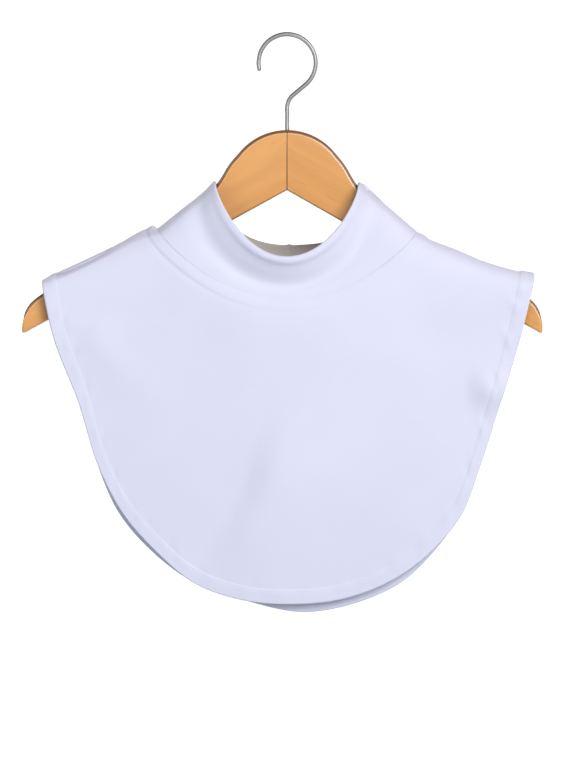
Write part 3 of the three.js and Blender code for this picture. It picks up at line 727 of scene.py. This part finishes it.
def panel_grids(half, along):
    """Middle of a panel's wall, distance from the neck seam and length to the hem, from left to right."""
    parts = {}
    for side in SIGN:
        inner = loop_points(SEAM, half, side, along)
        outer = outline_at(half, side, along)
        length = np.hypot(outer[:, 0] - inner[:, 0], outer[:, 2] - inner[:, 2])
        distance = panel_rows(length)
        middle = panel_middle(half, side, along, distance)
        parts[side] = (middle, distance, np.broadcast_to(length, distance.shape))
    pairs = zip(parts["left"], parts["right"])
    return [np.concatenate([left, right[:, ::-1][:, 1:]], axis=1) for left, right in pairs]


def knit_shell(name, outer, inner, place, round_loop, turned):
    """Closed shell of an outer and an inner grid, and its faces. The inner grid's place is deeper."""
    rows, columns = outer.shape[:2]
    points = np.concatenate([outer.reshape(-1, 3), inner.reshape(-1, 3)])
    inside = place + np.array([0.0, 0.0, 1.0])
    places = np.concatenate([place.reshape(-1, 3), inside.reshape(-1, 3)])
    faces = shell_faces(rows, columns, round_loop)
    if turned:
        faces = [face[::-1] for face in faces]
    return mesh_object(name, points, faces, places), faces


def panel_piece(half):
    along = np.linspace(0.0, 1.0, COLUMNS_PER_SIDE + 1)
    middle, distance, length = panel_grids(half, along)
    normals = grid_normals(middle, half, False, np.array([0.0, 1.0, 0.0]))
    beside = np.concatenate([1 - along, along[1:]])
    to_hem = length - distance
    half_wall = (panel_wall(distance, to_hem) / 2) * edge_round(to_hem, HEM_WALL / 2)
    puckers = hem_puckers(half, along) * np.exp(-((to_hem - HEM_WIDTH) / PUCKER_SPREAD) ** 2)
    middle = middle + normals * puckers[..., None]
    curl = neck_seam_curl(beside, distance) * shoulder_curl(half, along)
    outer = middle + normals * (half_wall * curl - neck_dip(half, along, distance))[..., None]
    inner = middle - normals * half_wall[..., None]
    place = np.stack([middle[..., 0], middle[..., 2], np.zeros_like(distance)], axis=-1)
    piece, _ = knit_shell("knit_" + half + "_panel", outer, inner, place, False, half == "back")
    return piece


def shape_rim(half, side, along, strip):
    """Soft ridge below the collar's folded edge, the edge tucked in, and the seam at the back's centre."""
    low = np.sin(turn_at(along))
    steps = np.linalg.norm(np.diff(strip, axis=0, prepend=strip[:1]), axis=-1)
    distance = np.cumsum(steps, axis=0)
    to_rim = distance[-1] - distance
    ridge = RIM_RIDGE * np.exp(-((to_rim - RIM_RIDGE_PLACE) / RIM_RIDGE_WIDTH) ** 2)
    tuck = RIM_TUCK * np.exp(-(to_rim / RIM_RIDGE_WIDTH) ** 2)
    shaped = strip.copy()
    shaped[..., 1] += FACING[half] * (ridge - tuck) * low ** 2
    if half == "back":
        seam = np.exp(-((strip[..., 0] - BACK_SEAM_PLACE) / BACK_SEAM_WIDTH) ** 2)
        shaped[..., 1] += BACK_SEAM_DEPTH * seam
        shaped[..., 2] += BACK_SEAM_LIFT * seam * np.exp(-(to_rim / RIM_RIDGE_WIDTH) ** 2)
    return shaped


def collar_shares():
    """Shares of the way from the collar's seam to its rim, close together at both."""
    seam_share, rim_share = 0.02, 0.03
    near_seam = np.linspace(0.0, seam_share, 7)
    body = np.linspace(2 * seam_share, 1 - 2 * seam_share, 60)
    near_rim = 1 - np.linspace(1.0, 0.0, 12)[1:] ** 2 * rim_share
    return np.concatenate([near_seam, body, near_rim])


def collar_middle(along):
    """Middle of the collar's wall, all the way round from the left shoulder over the front."""
    shares = collar_shares()
    strips = []
    for half, side, flip in COLLAR_ORDER:
        strip = smooth_points(collar_profile(half, side, along), shares)
        progress = wrap_progress(side, np.abs(strip[..., 0]), strip[..., 2])
        progress[:, 0] = 0.0
        strip = keep_off_board(half, side, strip, progress)
        strip = shape_rim(half, side, along, strip)
        strips.append(strip[:, ::-1][:, 1:] if flip else strip)
    front = np.concatenate([strips[0], strips[1]], axis=1)
    back = np.concatenate([strips[2], strips[3]], axis=1)[:, 1:-1]
    return np.concatenate([front, back], axis=1)


def collar_piece():
    """The collar, and for each of its faces whether it is on the inside."""
    along = np.linspace(0.0, 1.0, COLUMNS_PER_SIDE + 1)
    middle = collar_middle(along)
    normals = grid_normals(middle, None, True, None)
    steps = np.linalg.norm(np.diff(middle, axis=0, prepend=middle[:1]), axis=-1)
    distance = np.cumsum(steps, axis=0)
    half_wall = (COLLAR_WALL / 2) * edge_round(distance[-1] - distance, COLLAR_WALL / 2)
    beside = np.concatenate([1 - along, along[1:], 1 - along[1:], along[1:-1]])
    outer = middle + normals * (half_wall * neck_seam_curl(beside, distance))[..., None]
    inner = middle - normals * half_wall[..., None]
    around = np.cumsum(np.linalg.norm(np.diff(middle, axis=1, prepend=middle[:, :1]), axis=-1), axis=1)
    around = np.broadcast_to(around[len(around) // 2], distance.shape)
    place = np.stack([around, distance, np.zeros_like(distance)], axis=-1)
    piece, faces = knit_shell("knit_collar", outer, inner, place, True, True)
    return piece, np.array([min(face) >= distance.size for face in faces])


def ring_faces(rings, sides):
    """Faces of a tube of rings with both ends closed by one face."""
    faces = []
    for ring in range(rings - 1):
        low, high = ring * sides, (ring + 1) * sides
        for side in range(sides):
            after = (side + 1) % sides
            faces.append((low + side, low + after, high + after, high + side))
    faces.append(tuple(reversed(range(sides))))
    faces.append(tuple((rings - 1) * sides + side for side in range(sides)))
    return faces


def board_ring(side, distance, inset, edge_mark=0.0):
    """Points of a rounded section of a board, and at each how far it faces up, for the painted shade and
    highlight on the top edge, or the joint's glue share where that is larger.
    """
    top = float(arm_top(side, np.array(distance))) - inset
    bottom = float(arm_bottom(side, distance)) + inset
    half = ARM_THICKNESS / 2 - inset
    radius = min(ARM_EDGE_ROUND, (top - bottom) * ROUND_LIMIT, half)
    fall = float(arm_top(side, np.array(distance)) - arm_top(side, np.array(distance + SLOPE_PROBE)))
    top_radius = min(radius * math.hypot(1.0, fall / SLOPE_PROBE), (top - bottom) * TOP_ROUND_LIMIT)
    bottom_radius = radius * BOTTOM_ROUND_SHARE
    middle = float(bow_at(side, distance))
    ring = []
    light_and_glue_shares = []
    for across, up, start in ((1, True, 0), (-1, True, 90), (-1, False, 180), (1, False, 270)):
        centre_y = middle + across * (half - radius)
        tall = top_radius if up else bottom_radius
        centre_z = (top - tall) if up else (bottom + tall)
        joint_stain = edge_mark * (JOINT_STAIN_TOP_SHARE if up else 1.0)
        for step in range(CORNER_STEPS + 1):
            angle = math.radians(start + 90 * step / CORNER_STEPS)
            y = centre_y + radius * math.cos(angle)
            z = centre_z + tall * math.sin(angle)
            ring.append((SIGN[side] * distance, y, z))
            # How far the rounding faces up sets the painted shade on the top edge and the painted highlight
            # just below it; the joint's share sets its dark glue line
            light_and_glue_shares.append(max(math.sin(angle), joint_stain, 0.0))
    return ring, light_and_glue_shares


def board_piece(side):
    """Half of the hanger from its joint to its rounded tip."""
    reach = ARM_REACH[side]
    arc_reach = CROWN_RADIUS * math.sin(CROWN_TURN)
    arc = [CROWN_RADIUS * math.sin(CROWN_TURN * step / CROWN_STEPS) for step in range(1, CROWN_STEPS)]
    slope = list(np.linspace(arc_reach, reach - ARM_TIP_ROUND, SLOPE_STEPS))
    rings = [board_ring(side, *section) for section in JOINT_SECTIONS]
    rings += [board_ring(side, distance, 0.0) for distance in arc + slope]
    for step in range(1, TIP_STEPS + 1):
        angle = math.radians(90 * step / TIP_STEPS)
        distance = reach - ARM_TIP_ROUND * (1 - math.sin(angle))
        rings.append(board_ring(side, distance, ARM_TIP_ROUND * (1 - math.cos(angle)) * TIP_INSET_SHARE))
    faces = ring_faces(len(rings), len(rings[0][0]))
    if side == "left":
        faces = [face[::-1] for face in faces]
    points = [point for ring, _ in rings for point in ring]
    light_and_glue_shares = [edge_mark for _, ring_light_and_glue_shares in rings for edge_mark in ring_light_and_glue_shares]
    board = mesh_object("wooden_" + side + "_board", points, faces)
    # Shares for the painted shade and highlight along the top edge, and for the glue line at the joint
    layer = board.data.attributes.new("painted_light_and_glue", "FLOAT", "POINT")
    layer.data.foreach_set("value", np.array(light_and_glue_shares, dtype=np.float32))
    return board


def hook_path():
    """Middle of the wire from the wood round to the tip: x, z, direction and share of the full width."""
    radius = WIRE / 2
    round_radius = HOOK_BORE / 2 + radius
    centre_z = -HOOK_BORE / 2
    join_x = round_radius * math.cos(HOOK_LEAN)
    join_z = centre_z - round_radius * math.sin(HOOK_LEAN)
    knee_z = join_z - join_x / math.tan(HOOK_LEAN)
    bend_start = knee_z - HOOK_BEND * math.tan(HOOK_LEAN / 2)
    upright = math.pi / 2
    path = [(0.0, -HOOK_RISE - HOOK_ROOT, upright, 1.0), (0.0, -HOOK_RISE, upright, 1.0)]
    for step in range(HOOK_BEND_STEPS + 1):
        turn = HOOK_LEAN * step / HOOK_BEND_STEPS
        x = HOOK_BEND * (1 - math.cos(turn))
        path.append((x, bend_start + HOOK_BEND * math.sin(turn), upright - turn, 1.0))
    for step in range(HOOK_ROUND_STEPS + 1):
        angle = mix(-HOOK_LEAN, HOOK_END, step / HOOK_ROUND_STEPS)
        x = round_radius * math.cos(angle)
        path.append((x, centre_z + round_radius * math.sin(angle), angle + upright, 1.0))
    tip_x, tip_z, tip_angle, _ = path[-1]
    for step in range(1, HOOK_TIP_STEPS + 1):
        angle = math.radians(90 * step / HOOK_TIP_SPLIT)
        ahead = radius * math.sin(angle)
        x = tip_x + ahead * math.cos(tip_angle)
        path.append((x, tip_z + ahead * math.sin(tip_angle), tip_angle, math.cos(angle)))
    return path


def hook_piece():
    radius = WIRE / 2
    rings = []
    for x, z, angle, width in hook_path():
        ring = []
        for side in range(HOOK_SIDES):
            around = 2 * math.pi * side / HOOK_SIDES
            reach = radius * width * math.cos(around)
            y = radius * width * math.sin(around)
            ring.append((x + math.sin(angle) * reach, y, z - math.cos(angle) * reach))
        rings.append(ring)
    points = [point for ring in rings for point in ring]
    return mesh_object("wire_hook", points, ring_faces(len(rings), HOOK_SIDES))


# Materials

WHITE_KNIT = [(0.683, 0.674, 0.822), (0.695, 0.684, 0.830)]
# Painted shade: darker grey for the collar's inner faces, standing in for the shadow inside the collar
PAINTED_SHADE_KNIT = [(0.40, 0.385, 0.365), (0.43, 0.415, 0.395)]
WALE_WIDTH = 1.1 * MM
COURSE_HEIGHT = 0.8 * MM
WALE_SHARE = 0.7
LOOP_DEPTH = 0.08 * MM
HONEY_WOOD = [(0.590, 0.240, 0.043), (0.690, 0.305, 0.062)]
WOOD_SPECK = (0.330, 0.120, 0.030)
# Painted highlight: a light band on the boards' rounding just below the top edge
PAINTED_BEVEL_HIGHLIGHT = (0.930, 0.560, 0.250)
# Dark brown: painted shade on the boards' upward-facing top edges, and the glue line at the joint
GLUE_AND_PAINTED_SHADE = (0.150, 0.048, 0.014)
GRAIN_TURN = math.radians(29)
GRAIN_SCALE = (5, 45, 70)
BRIGHT_WIRE = [(0.170, 0.170, 0.166), (0.230, 0.229, 0.222)]
PALE_PAPER = (0.9, 0.9, 0.9)
WHITE = (1.0, 1.0, 1.0)


def new_material(name, shader_values):
    """Material with its values on the shader's own sockets, its node tree and its shader."""
    material = bpy.data.materials.new(name)
    material.use_nodes = True
    shader = material.node_tree.nodes["Principled BSDF"]
    for socket, value in shader_values.items():
        shader.inputs[socket].default_value = value
    return material, material.node_tree, shader


def add_node(tree, kind, values=None, links=None, **settings):
    """New node with its settings, the values of its sockets and the outputs that feed others of them."""
    node = tree.nodes.new(kind)
    for setting, value in settings.items():
        setattr(node, setting, value)
    for socket, value in (values or {}).items():
        node.inputs[socket].default_value = value
    for socket, source in (links or {}).items():
        tree.links.new(source, node.inputs[socket])
    return node


def wave_across(tree, place, spacing):
    """Sine of a place with one wave for each spacing."""
    values = {1: 2 * math.pi / spacing}
    turns = add_node(tree, "ShaderNodeMath", values, {0: place}, operation="MULTIPLY")
    return add_node(tree, "ShaderNodeMath", None, {0: turns.outputs[0]}, operation="SINE").outputs[0]


def noise(tree, place, values):
    return add_node(tree, "ShaderNodeTexNoise", values, {"Vector": place}).outputs["Fac"]


def share_between(tree, value, start, end, most):
    """Share from 0 to its most while a value goes from a start to an end."""
    values = {"From Min": start, "From Max": end, "To Max": most}
    return add_node(tree, "ShaderNodeMapRange", values, {"Value": value}).outputs["Result"]


def colour_between(tree, share, colours, low=0.0, high=1.0):
    """Colour that goes from the first to the second while a share goes from low to high."""
    ramp = add_node(tree, "ShaderNodeValToRGB", None, {"Fac": share})
    for stop, place, colour in zip(ramp.color_ramp.elements, (low, high), colours):
        stop.position = place
        stop.color = (*colour, 1)
    return ramp.outputs["Color"]


def colour_over(tree, share, under, colour):
    """Colour laid by a share over the one under it."""
    links = {"Fac": share, "Color1": under}
    return add_node(tree, "ShaderNodeMixRGB", {"Color2": (*colour, 1)}, links).outputs["Color"]


def knit_loops(tree):
    """Bumps of the knit's loops, wales across and courses up, on the cloth's own places."""
    place = add_node(tree, "ShaderNodeAttribute", attribute_name="cloth_place").outputs["Vector"]
    split = add_node(tree, "ShaderNodeSeparateXYZ", None, {0: place})
    wales = wave_across(tree, split.outputs["X"], WALE_WIDTH)
    courses = wave_across(tree, split.outputs["Y"], COURSE_HEIGHT)
    waves = {0: wales, 2: courses}
    loops = add_node(tree, "ShaderNodeMath", {1: WALE_SHARE}, waves, operation="MULTIPLY_ADD")
    values = {"Strength": 0.14, "Distance": LOOP_DEPTH}
    return add_node(tree, "ShaderNodeBump", values, {"Height": loops.outputs[0]}).outputs["Normal"]


def knit_material(name, colours):
    shader_values = {
        "Roughness": 0.88,
        "Specular IOR Level": 0.25,
        "Sheen Weight": 0.15,
        "Sheen Roughness": 0.5,
    }
    material, tree, shader = new_material(name, shader_values)
    place = add_node(tree, "ShaderNodeTexCoord").outputs["Object"]
    tint = noise(tree, place, {"Scale": 28, "Detail": 4})
    tree.links.new(colour_between(tree, tint, colours, 0.35, 0.65), shader.inputs["Base Color"])
    tree.links.new(knit_loops(tree), shader.inputs["Normal"])
    return material


def wood_grain(tree, side):
    """Colour of the bare wood, with its grain along the board and a few dark specks."""
    place = add_node(tree, "ShaderNodeTexCoord").outputs["Object"]
    turn = (0, -SIGN[side] * GRAIN_TURN, 0)
    turned = add_node(tree, "ShaderNodeMapping", {"Rotation": turn}, {"Vector": place})
    scaled = add_node(tree, "ShaderNodeMapping", {"Scale": GRAIN_SCALE}, {"Vector": turned.outputs["Vector"]})
    along = scaled.outputs["Vector"]
    grain = noise(tree, along, {"Scale": 1.6, "Detail": 6, "Distortion": 0.4})
    wood = colour_between(tree, grain, HONEY_WOOD, 0.25, 0.70)
    specks = noise(tree, along, {"Scale": 9, "Detail": 2})
    return colour_over(tree, share_between(tree, specks, 0.66, 0.74, 0.35), wood, WOOD_SPECK)


def wood_material(side):
    shader_values = {"Roughness": 0.38, "Coat Weight": 0.6, "Coat Roughness": 0.18}
    material, tree, shader = new_material("honey_wood_" + side, shader_values)
    edge_mark = add_node(tree, "ShaderNodeAttribute", attribute_name="painted_light_and_glue").outputs["Fac"]
    # Painted highlight on the rounding where it just starts to face up
    wood = colour_over(tree, share_between(tree, edge_mark, 0.0, 0.10, 0.55), wood_grain(tree, side), PAINTED_BEVEL_HIGHLIGHT)
    # Painted shade where the top rounding faces up, and the dark glue line at the joint
    wood = colour_over(tree, share_between(tree, edge_mark, 0.14, 0.32, 0.92), wood, GLUE_AND_PAINTED_SHADE)
    tree.links.new(wood, shader.inputs["Base Color"])
    return material


def steel_material():
    material, tree, shader = new_material("bright_wire", {"Metallic": 1.0, "Roughness": 0.4})
    place = add_node(tree, "ShaderNodeTexCoord").outputs["Object"]
    tint = noise(tree, place, {"Scale": 60})
    tree.links.new(colour_between(tree, tint, BRIGHT_WIRE), shader.inputs["Base Color"])
    return material


def studio_material():
    shader_values = {
        "Base Color": (*PALE_PAPER, 1),
        "Roughness": 1.0,
        "Emission Color": (*WHITE, 1),
        "Emission Strength": 0.75,
    }
    return new_material("pale_paper", shader_values)[0]


# Studio

FLOOR_DROP = 0.85
WALL_RADIUS = 2.9
WALL_HEIGHT = 4.0
FOOT_RADIUS = 0.9
FOOT_STEPS = 12
SWEEP_SIDES = 64
FLOOR_HOLE = 0.001

# Lights: name, place, size, power, colour
LIGHTS = [
    ("key", (1.0, -2.08, 0.7), 1.5, 53.5, WHITE),
    ("fill", (-0.6, -1.4, -1.25), 1.2, 10.5, (0.76, 0.97, 1.0)),
    ("back", (-1.2, 1.8, 0.0), 1.2, 26, WHITE),
]
LIGHT_TARGET = Vector((0.0, 0.0, -0.26))
ROOM_LIGHT = 0.28

# Photo: its size, the hook's column and the wood's top row in pixels, and the size of a pixel on the part
PHOTO_WIDTH, PHOTO_HEIGHT = 576, 768
HOOK_COLUMN, WOOD_TOP_ROW = 287, 131
PIXEL = 0.84 * MM
CAMERA_DISTANCE = 1.9
CAMERA_ELEVATION = math.radians(2.0)


def studio_sweep():
    """Round wall with a curved foot, so that the view is plain from every side."""
    floor_z = cad_bounds[0][2] - FLOOR_DROP
    profile = [(FLOOR_HOLE, floor_z), (WALL_RADIUS - FOOT_RADIUS, floor_z)]
    for step in range(1, FOOT_STEPS + 1):
        angle = math.radians(90 * step / FOOT_STEPS)
        out = WALL_RADIUS - FOOT_RADIUS * (1 - math.sin(angle))
        profile.append((out, floor_z + FOOT_RADIUS * (1 - math.cos(angle))))
    profile.append((WALL_RADIUS, floor_z + WALL_HEIGHT))
    points = []
    for out, z in profile:
        for side in range(SWEEP_SIDES):
            turn = 2 * math.pi * side / SWEEP_SIDES
            points.append((out * math.cos(turn), out * math.sin(turn), z))
    faces = []
    for ring in range(len(profile) - 1):
        low, high = ring * SWEEP_SIDES, (ring + 1) * SWEEP_SIDES
        for side in range(SWEEP_SIDES):
            after = (side + 1) % SWEEP_SIDES
            faces.append((low + side, high + side, high + after, low + after))
    sweep = mesh_object("studio_sweep", points, faces)
    sweep.data.materials.append(studio_material())
    sweep.visible_diffuse = False


def look_at(from_place, to_place):
    return (Vector(to_place) - Vector(from_place)).to_track_quat("-Z", "Y").to_euler()


def area_light(name, place, size, power, colour):
    data = bpy.data.lights.new(name, "AREA")
    data.shape = "DISK"
    data.size = size
    data.energy = power
    data.color = colour
    light = bpy.data.objects.new(name, data)
    light.location = place
    light.visible_camera = False
    light.rotation_euler = look_at(place, LIGHT_TARGET)
    bpy.context.scene.collection.objects.link(light)


def studio_light():
    world = bpy.data.worlds.new("soft_room")
    world.use_nodes = True
    world.node_tree.nodes["Background"].inputs["Color"].default_value = (*WHITE, 1)
    world.node_tree.nodes["Background"].inputs["Strength"].default_value = ROOM_LIGHT
    bpy.context.scene.world = world
    for light in LIGHTS:
        area_light(*light)


def photo_camera():
    """Camera in front of the photo's middle, seen at the photo's scale."""
    middle_x = (PHOTO_WIDTH / 2 - HOOK_COLUMN) * PIXEL
    middle_z = -HOOK_RISE - (PHOTO_HEIGHT / 2 - WOOD_TOP_ROW) * PIXEL
    middle = Vector((middle_x, 0.0, middle_z))
    back = Vector((0.0, -math.cos(CAMERA_ELEVATION), math.sin(CAMERA_ELEVATION)))
    data = bpy.data.cameras.new("photo_camera")
    data.sensor_width = 36
    data.lens = data.sensor_width * CAMERA_DISTANCE / (PHOTO_HEIGHT * PIXEL)
    data.clip_end = 20
    camera = bpy.data.objects.new("photo_camera", data)
    camera.location = middle + back * CAMERA_DISTANCE
    camera.rotation_euler = look_at(camera.location, middle)
    bpy.context.scene.collection.objects.link(camera)
    bpy.context.scene.camera = camera


photo_camera()
studio_light()
studio_sweep()
bpy.context.scene.view_settings.view_transform = "Standard"

knit = knit_material("white_double_knit", WHITE_KNIT)
front = panel_piece("front")
back = panel_piece("back")
collar, inner_faces = collar_piece()
for piece, node in ((front, "front_panel"), (back, "back_panel"), (collar, "collar_band")):
    piece.data.materials.append(knit)
    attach(piece, "root")
    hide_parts(node)
# The collar's inner faces get the grey knit: painted shade for the shadowed inside, not a colour of the cloth
collar.data.materials.append(knit_material("painted_shade_inner_knit", PAINTED_SHADE_KNIT))
collar.data.polygons.foreach_set("material_index", inner_faces.astype(np.int32))

for side in SIGN:
    board = board_piece(side)
    board.data.materials.append(wood_material(side))
    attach(board, "root")
    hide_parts("hanger_" + side + "_arm")
hook = hook_piece()
hook.data.materials.append(steel_material())
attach(hook, "root")
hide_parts("hanger_hook")
